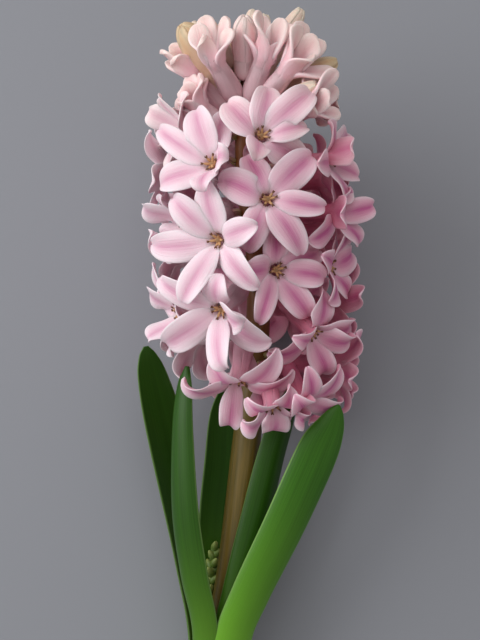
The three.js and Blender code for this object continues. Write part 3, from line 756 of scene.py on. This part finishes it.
CLEAR = 2.4  # tepals of two florets keep about this far apart
YIELD = 3.5  # the most that a tepal gives way
MOST_STEP = 0.5  # the most that it gives way at a time
TIMES = 12
GIVE = 0.25  # share of what is missing that one point asks for at a time
FOLLOW = 0.3  # how far the start of the bend goes along with its tip
SAMPLES = [(u, v) for u in (-0.7, 0, 0.7) for v in (0.6, 0.72, 0.84, 0.96)]


def stand_clear(tepals, florets):
    """Where the tepals of two florets would meet, those further out pass over the others."""
    moved = [0.0 for _ in tepals]
    ahead = [(f["throat"] - scape_middle(f["throat"].y)).length for f in florets]
    for _ in range(TIMES):
        points = []
        for n, tepal in enumerate(tepals):
            place = tepal_place(tepal)
            points += [(n, v, place(u, v, 0)) for u, v in SAMPLES]
        tree = KDTree(len(points))
        for i, (n, v, at) in enumerate(points):
            tree.insert(at, i)
        tree.balance()
        push = [0.0 for _ in tepals]
        for n, v, at in points:
            mine = tepals[n]["floret"]
            for _, i, apart in tree.find_range(at, CLEAR):
                theirs = tepals[points[i][0]]["floret"]
                if theirs != mine:
                    over = 1 if (ahead[mine], mine) > (ahead[theirs], theirs) else -1
                    push[n] += over * (CLEAR - apart) * GIVE
        for n, tepal in enumerate(tepals):
            step = min(max(push[n], -MOST_STEP), MOST_STEP)
            step = min(max(moved[n] + step, -YIELD), YIELD) - moved[n]
            moved[n] += step
            tip = tepal["bend"][3]
            outward = (tip - scape_middle(tip.y)).normalized()
            tepal["bend"][3] = tip + outward * step
            tepal["bend"][2] = tepal["bend"][2] + outward * step
            tepal["bend"][1] = tepal["bend"][1] + outward * step * FOLLOW


CLOUD = 6  # size of the faint clouds of colour


def petal_material(name, pale, mid, deep, back, warm_tip):
    """Waxy petal: pale margins, a deeper stripe down the middle of each tepal, veins along it."""
    material, shader, tree = new_material(name, {
        "Roughness": 0.45, "Subsurface Weight": 0.35, "Subsurface Radius": (1.0, 0.75, 0.8),
        "Subsurface Scale": 1.0 * MM,
    })
    own, across, up, through = grown_parts(tree)
    # A floret's tone is partly its own depth of colour and partly painted shade on the spike's right side.
    tone, warm, seed = (
        add(tree, "Attribute", {}, "Fac", attribute_name=mark) for mark in ("tone", "warm", "seed")
    )

    # The veins run along the tepal, and they fray the stripe and the margin.
    drawn = add(tree, "Mapping", {"Vector": own, "Scale": (11, 3.0, 0.4)})
    grain = {"Vector": drawn, "W": seed, "Scale": 1.0, "Detail": 4.0, "Roughness": 0.6}
    veins = add(tree, "TexNoise", grain, noise_dimensions="4D")
    from_middle = add(tree, "Math", {0: across}, operation="ABSOLUTE")
    frayed = add(tree, "Math", {0: veins, 1: 0.5, 2: from_middle}, operation="MULTIPLY_ADD")

    # The ground: pale at the margin and the throat, fuller where the floret's tone is deeper.
    margin = add(tree, "MapRange", {0: frayed, 1: 0.75, 2: 1.3, 3: 0.0, 4: 0.55}, **SMOOTH)
    near = add(tree, "MapRange", {0: up, 1: 0.3, 2: 0.55, 3: 0.6, 4: 0.0}, **SMOOTH)
    washed = add(tree, "Math", {0: margin, 1: near}, operation="MAXIMUM")
    fuller = add(tree, "MapRange", {0: tone, 1: 0.3, 2: 1.1, 3: 0.25, 4: 1.0})
    flush = add(tree, "Mix", {0: fuller, 6: linear(pale), 7: linear(mid)}, **COLOUR)
    ground = add(tree, "Mix", {0: washed, 6: flush, 7: linear(pale)}, **COLOUR)

    # The stripe: down the middle, from the bend to just short of the tip.
    stripe = add(tree, "MapRange", {0: frayed, 1: 0.1, 2: 0.95, 3: 0.8, 4: 0.0}, **SMOOTH)
    rise = add(tree, "MapRange", {0: up, 1: 0.42, 2: 0.7, 3: 0.2, 4: 1.0}, **SMOOTH)
    fall = add(tree, "MapRange", {0: up, 1: 0.8, 2: 0.99, 3: 1.0, 4: 0.15}, **SMOOTH)
    length = add(tree, "Math", {0: rise, 1: fall}, operation="MULTIPLY")
    band = add(tree, "Math", {0: stripe, 1: length}, operation="MULTIPLY")
    depth = add(tree, "Math", {0: tone, 1: 0.8, 2: 0.45}, operation="MULTIPLY_ADD")
    strong = add(tree, "Math", {0: band, 1: depth}, operation="MULTIPLY")
    striped = add(tree, "Mix", {0: strong, 6: ground, 7: linear(deep)}, **COLOUR)

    # The back is rosier, most of all low down and on the tube.
    behind = add(tree, "MapRange", {0: through, 1: 0.1, 2: -0.3, 3: 0.0, 4: 0.9})
    low = add(tree, "MapRange", {0: up, 1: 0.75, 2: 0.3, 3: 0.45, 4: 1.0})
    rosy = add(tree, "Math", {0: behind, 1: low}, operation="MULTIPLY")
    rosy = add(tree, "Math", {0: rosy, 1: tone}, operation="MULTIPLY")
    backed = add(tree, "Mix", {0: rosy, 6: striped, 7: linear(back)}, **COLOUR)

    # Florets near the top of the spike have warm cream tips, and all have faint clouds of colour.
    tip = add(tree, "MapRange", {0: up, 1: 0.45, 2: 0.95, 3: 0.2, 4: 1.0}, **SMOOTH)
    creamy = add(tree, "Math", {0: tip, 1: warm}, operation="MULTIPLY")
    warmed = add(tree, "Mix", {0: creamy, 6: backed, 7: linear(warm_tip)}, **COLOUR)
    clouds = add(tree, "TexNoise", {"Scale": 1 / (CLOUD * MM), "Detail": 2.0})
    cloud = add(tree, "MapRange", {0: clouds, 1: 0.3, 2: 0.7, 3: 0.96, 4: 1.04})
    finished = add(tree, "VectorMath", {0: warmed, "Scale": cloud}, operation="SCALE")
    bump = add(tree, "Bump", {"Height": veins, "Strength": 0.6, "Distance": 0.0004})
    tree.links.new(finished, shader.inputs["Base Color"])
    tree.links.new(bump, shader.inputs["Normal"])
    return material


# The petals of open florets, and of half-open ones, which are creamier with less of a stripe.
petal = petal_material("waxy_petal", "fbedf3", "eab4c8", "c75f97", "c8607f", "f6e2d0")
young_petal = petal_material("young_petal", "fbe6ec", "f2c0cd", "de90a8", "e08fa4", "f8e4d4")

# Pedicel: thin green stalk flushed with pink.
pedicel, shader, tree = new_material("flushed_pedicel", {"Roughness": 0.45})
*_, up = grown_parts(tree)
flush = add(tree, "Mix", {0: up, 6: linear("8f8a4a"), 7: linear("c08a94")}, **COLOUR)
tree.links.new(flush, shader.inputs["Base Color"])

tepal_strip = strip("tepal_strip", 6, 22)
pedicel_rod = rod("pedicel_rod", 8, 3)


def tube_mark(co):
    """A tepal's marks on the tube: a faint rib down the middle of each of the six, seen from behind."""
    rib = 0.5 - 0.5 * math.cos(6 * math.atan2(co.y, co.x))
    return Vector((0.2 + 0.6 * rib, co.z * TUBE_SHARE, -0.5))


tube_rod = rod("tube_rod", 18, 12, grown_at=tube_mark)
TUBE_PLUG = 0.88  # how far up the tube its closed inner end lies in an open floret
SHUT_PLUG = 1.1  # and in one that is still shut
PLUG_FROM = 0.95  # share of the skin after which it turns in to the plug
PLUG_IN = 0.35  # how far inside the middle of the wall the plug's rim lies


def tube_place(tepal, plug=TUBE_PLUG):
    """The tube as one smooth skin over the foot of the tepals. Its end closes the throat from inside."""
    start, axis, long, radii = tepal["start"], tepal["axis"], tepal["tube"], tepal["round"]
    side = axis.orthogonal().normalized()
    front = axis.cross(side)

    def place(x, y, z):
        # The skin lies just over the tepals' outer faces, and closer to them towards the throat.
        skin = 0.45 * tepal["thick"] + mix(0.32, 0.1, z) if z < PLUG_FROM else -PLUG_IN
        radius = smooth_along(radii, z) * tepal["wall"] + skin
        return start + axis * long * z * plug + (side * x + front * y) * radius

    return place


def rod_between(start, end, radius):
    """Where a point of a straight rod goes."""
    way = (end - start).normalized()
    side = way.orthogonal().normalized()
    front = way.cross(side)
    return lambda x, y, z: start.lerp(end, z) + (side * x + front * y) * radius


bract_ball = ball("bract_ball", 8, 6)
BRACT = (0.9, 0.35, 1.7)  # half sizes across, deep, long


def bract_place(foot):
    """A small bract stands off the scape right under the pedicel."""
    outward = (foot - scape_middle(foot.y)).normalized()
    way = (outward + Vector((0, 0.5, 0))).normalized()
    across = way.cross(outward).normalized()
    deep = across.cross(way)
    middle = foot - Vector((0, PEDICEL, 0)) + way * BRACT[2] * 0.6

    def place(x, y, z):
        pointed = 1 - 0.5 * max(z, 0)
        return middle + across * x * BRACT[0] * pointed + deep * y * BRACT[1] + way * z * BRACT[2]

    return place


florets = [set_floret(tips, *shape) for shape, tips in SET_FLORETS]
florets += [grown_floret(i, *entry) for i, entry in enumerate(GROWN_FLORETS)]
all_tepals = [tepal for i, floret in enumerate(florets) for tepal in floret_tepals(floret, i)]
stand_clear(all_tepals, florets)

# Florets are deeper in tone low on the spike and warmer towards its top. On the spike's right side their
# tone is made deeper still, as painted shade.
LOWEST_THROAT = 130
THROATS_HIGH = 95  # from the lowest throat to the highest open one
YOUNG_TONE = 0.5
SEEDS_APART = 1.7  # sets the veins of one tepal well off from the next one's
for i, floret in enumerate(florets):
    high = min(max((floret["throat"].y - LOWEST_THROAT) / THROATS_HIGH, 0), 1)
    # The share that grows as the floret faces right is painted shade.
    tone = mix(0.75, 0.6, high) + 0.15 * wobble(i, 40) + 0.5 * floret["axis"].x
    if floret["open"] < 1:
        tone = YOUNG_TONE
    warm = 0.55 * max(0, (high - 0.7) / 0.3)
    bm = bmesh.new()
    tepals = all_tepals[6 * i:6 * i + 6]
    for tepal in tepals:
        lay(bm, tepal_strip, tepal_place(tepal), tone=tone, warm=warm, seed=tepal["seed"] * SEEDS_APART)
    plug = mix(SHUT_PLUG, TUBE_PLUG, floret["open"])
    lay(bm, tube_rod, tube_place(tepals[0], plug), tone=tone, warm=warm, seed=i)
    base = scape_middle(floret["foot"].y).lerp(floret["foot"], 0.8)
    lay(bm, pedicel_rod, rod_between(base, tepals[0]["start"] + floret["axis"] * 1.2, PEDICEL), material=1)
    lay(bm, bract_ball, bract_place(floret["foot"]), material=1)
    name = f"floret_{i + 1:02d}"
    piece(name + "_tepals", bm, [petal if floret["open"] == 1 else young_petal, pedicel], [name])

# ---- the buds and the crown ---------------------------------------------------------------------------
# Towards the tip the florets are still closed or only half open. Their tepals stand together round the
# axis, thick and cream to peach. At the very tip the smallest buds have grown together in a crown.
BUDS = [
    # foot height, tip, greatest radius, how far its tips stand apart, its skin
    (215, (26, 226, 20), 2.6, 0.3, "cream"),
    (224, (-20.5, 248, 11), 5.1, 0.3, "tan"),
    (224, (34, 237, 4), 3.6, 0.3, "tan"),
    (224, (19, 238, -17), 3.5, 0.6, "blush"),
    (224, (2, 240, -24), 3.5, 0.4, "cream"),
    (224, (-16, 239, -15), 3.4, 0.4, "blush"),
    (229, (-17, 252, -3), 2.6, 0.3, "cream"),
    (228, (22, 257, -2), 2.9, 0.4, "cream"),
    (232, (-13, 253, 2), 2.6, 0.3, "cream"),
    (227, (1.5, 250, 16), 3.9, 0.3, "blush"),
    (233, (9, 249, -12), 2.8, 0.3, "cream"),
    (233, (-5, 249, -11), 2.7, 0.3, "tan"),
]
CROWN = [((1, 252, 3.5), 2.3), ((9, 254, 1), 2.4), ((4.5, 253, -5.5), 2.3), ((4.5, 256, -1), 2.2)]
CROWN_APART = 0.2
# A bud's rows are shares of its greatest radius.
BUD_TUBE = [(0, 0.25), (0.12, 0.6), (0.35, 0.78), (0.7, 0.82), (1, 0.86)]
BUD_HALF = [(0, 0.51), (0.35, 0.6), (0.6, 0.6), (0.8, 0.5), (0.92, 0.36), (1, 0.2)]
BUD_BOW = [(0, 34), (1, 34)]
TUBE_OF_BUD = 0.42  # share of a bud, without its stalk, that is tube
BUD_STALK = 4  # length, or a fifth of the whole bud, if that is less
BUD_THICK = 1.4
BUD_OPEN = 0.12
BUD_TONE = 0.5
BUD_WARM = 0.5
FIRST_BUD_SEED = 300


def bud_shape(bm, foot, tip, fat, apart, index):
    """Lays a bud from its foot to its tip into a piece: six closed tepals, their tube and the stalk."""
    axis = (tip - foot).normalized()
    long = (tip - foot).length
    stalk = min(BUD_STALK, long * 0.2)
    start = foot + axis * stalk
    tube = (long - stalk) * TUBE_OF_BUD
    throat = start + axis * tube
    free = (tip - throat).length
    at = round_axis(axis)
    loose = apart / fat
    for k in range(6):
        way = at(math.tau * k / 6 + wobble(index, 50) + 0.2 * loose * wobble(index, 70 + k))
        outer = k % 2
        root = throat + way * (BUD_TUBE[-1][1] * fat + 0.15 * outer)
        short = 1 - (0.05 + 0.1 * loose) * abs(wobble(index, 60 + k))
        spread = apart * (1 + 0.3 * loose * wobble(index, 80 + k))
        bend = [
            root,
            root + axis * free * 0.35 + way * fat * 0.2,
            throat + axis * free * 0.93 * short + way * (fat * 1.02 + 0.3 * outer),
            throat + axis * free * short + way * (spread + 0.2 * outer),
        ]
        seed = FIRST_BUD_SEED + index * 6 + k
        tepal = {
            "seed": seed, "outer": outer, "open": BUD_OPEN, "cup": 1, "start": start, "axis": axis,
            "tube": tube, "wall": fat, "round": BUD_TUBE, "root_way": way, "tip_way": way, "bend": bend,
            "wide": fat * mix(1.08, 0.85, min(loose, 1)), "thick": BUD_THICK,
            "half": BUD_HALF, "bow": BUD_BOW,
        }
        lay(bm, tepal_strip, tepal_place(tepal), tone=BUD_TONE, warm=BUD_WARM, seed=seed * SEEDS_APART)
    lay(bm, tube_rod, tube_place(tepal), tone=BUD_TONE, warm=BUD_WARM, seed=index)
    lay(bm, pedicel_rod, rod_between(foot, start + axis, PEDICEL * 0.9), material=1)


# Bud skins: the same waxy petal, less coloured the longer the bud is from opening.
BUD_SKINS = {
    "blush": petal_material("blush_bud", "f8e6e8", "f0ccd0", "e0a4b2", "e4a8b2", "f8e4d4"),
    "cream": petal_material("cream_bud", "f4e2d2", "edc6be", "e0aaaa", "e4aeb0", "f4e6c8"),
    "tan": petal_material("tan_bud", "e9d6b6", "dfb9a0", "c79a6c", "d8a797", "d6b988"),
}
for i, (height, tip, fat, apart, skin) in enumerate(BUDS):
    away = Vector(tip) - scape_middle(height)
    foot = foot_at(height, math.degrees(math.atan2(away.x, away.z)))
    bud = bmesh.new()
    bud_shape(bud, foot, Vector(tip), fat, apart, i)
    name = f"bud_{i + 1:02d}"
    piece(name + "_tepals", bud, [BUD_SKINS[skin], pedicel], [name])

crown = bmesh.new()
crown_seat = scape_middle(SCAPE_LENGTH) - Vector((0, 1, 0))
for i, (tip, fat) in enumerate(CROWN):
    bud_shape(crown, crown_seat, Vector(tip), fat, CROWN_APART, 40 + i)
piece("crown_buds", crown, [BUD_SKINS["cream"], pedicel], ["crown"])

# ---- stamens and pistils ------------------------------------------------------------------------------
# Inside each open throat stand six anthers, golden tan with darker split tips, round a short pistil.
ANTHER = (0.5, 0.45, 1.9)  # half sizes across, deep, long
SPLIT_TIP = (0.28, 0.26, 0.65)
PISTIL = (1.3, 1.3, 1.5)
ANTHER_RING = 1.2
ANTHER_AHEAD = 1.5  # how far in front of the throat the anthers' middles stand
PISTIL_AHEAD = 0.4

# Anther: dry mealy pollen on a tan sac.
GRAIN = 0.3  # coarser than real pollen, so that it shows
pollen, shader, tree = new_material("mealy_anther", {"Roughness": 0.8})
*_, up = grown_parts(tree)
meal = add(tree, "TexNoise", {"Scale": 1 / (GRAIN * MM), "Detail": 2.0})
tan = add(tree, "Mix", {0: meal, 6: linear("b8875a"), 7: linear("dab184")}, **COLOUR)
dark = add(tree, "MapRange", {0: up, 1: 0.6, 2: 1.0, 3: 0.0, 4: 0.6})
sac = add(tree, "Mix", {0: dark, 6: tan, 7: linear("43291a")}, **COLOUR)
tree.links.new(sac, shader.inputs["Base Color"])

# Split tip: the brown skin of an anther that has opened and dried.
split, *_ = new_material("dried_split", {"Base Color": linear("6b4229"), "Roughness": 0.7})

anther_ball = ball("anther_ball", 7, 5)


def anther_place(middle, way, outward, size):
    """Where a point of a ball goes when it is drawn out along a way, flat side outward."""
    across = way.cross(outward).normalized()
    deep = across.cross(way)
    wide, thick, long = size
    return lambda x, y, z: middle + across * x * wide + deep * y * thick + way * z * long


for i, floret in enumerate(florets):
    stamens = bmesh.new()
    throat, axis = floret["throat"], floret["axis"]
    at = round_axis(axis)
    for k in range(6):
        outward = at(math.tau * (k + 0.5) / 6 + 0.35 * wobble(i, 70 + k))
        middle = throat + outward * ANTHER_RING + axis * (ANTHER_AHEAD + 0.5 * wobble(i, 80 + k))
        way = (axis + outward * (0.8 + 0.5 * wobble(i, 90 + k))).normalized()
        lay(stamens, anther_ball, anther_place(middle, way, outward, ANTHER))
        for turn in (-1, 1):
            fork = (way + way.cross(outward) * 0.7 * turn + outward * 0.5).normalized()
            end = middle + way * ANTHER[2] * 0.85 + fork * SPLIT_TIP[2] * 0.6
            lay(stamens, anther_ball, anther_place(end, fork, outward, SPLIT_TIP), material=1)
    lay(stamens, anther_ball, anther_place(throat + axis * PISTIL_AHEAD, axis, at(0), PISTIL))
    piece(f"stamens_{i + 1:02d}", stamens, [pollen, split], levels=0)
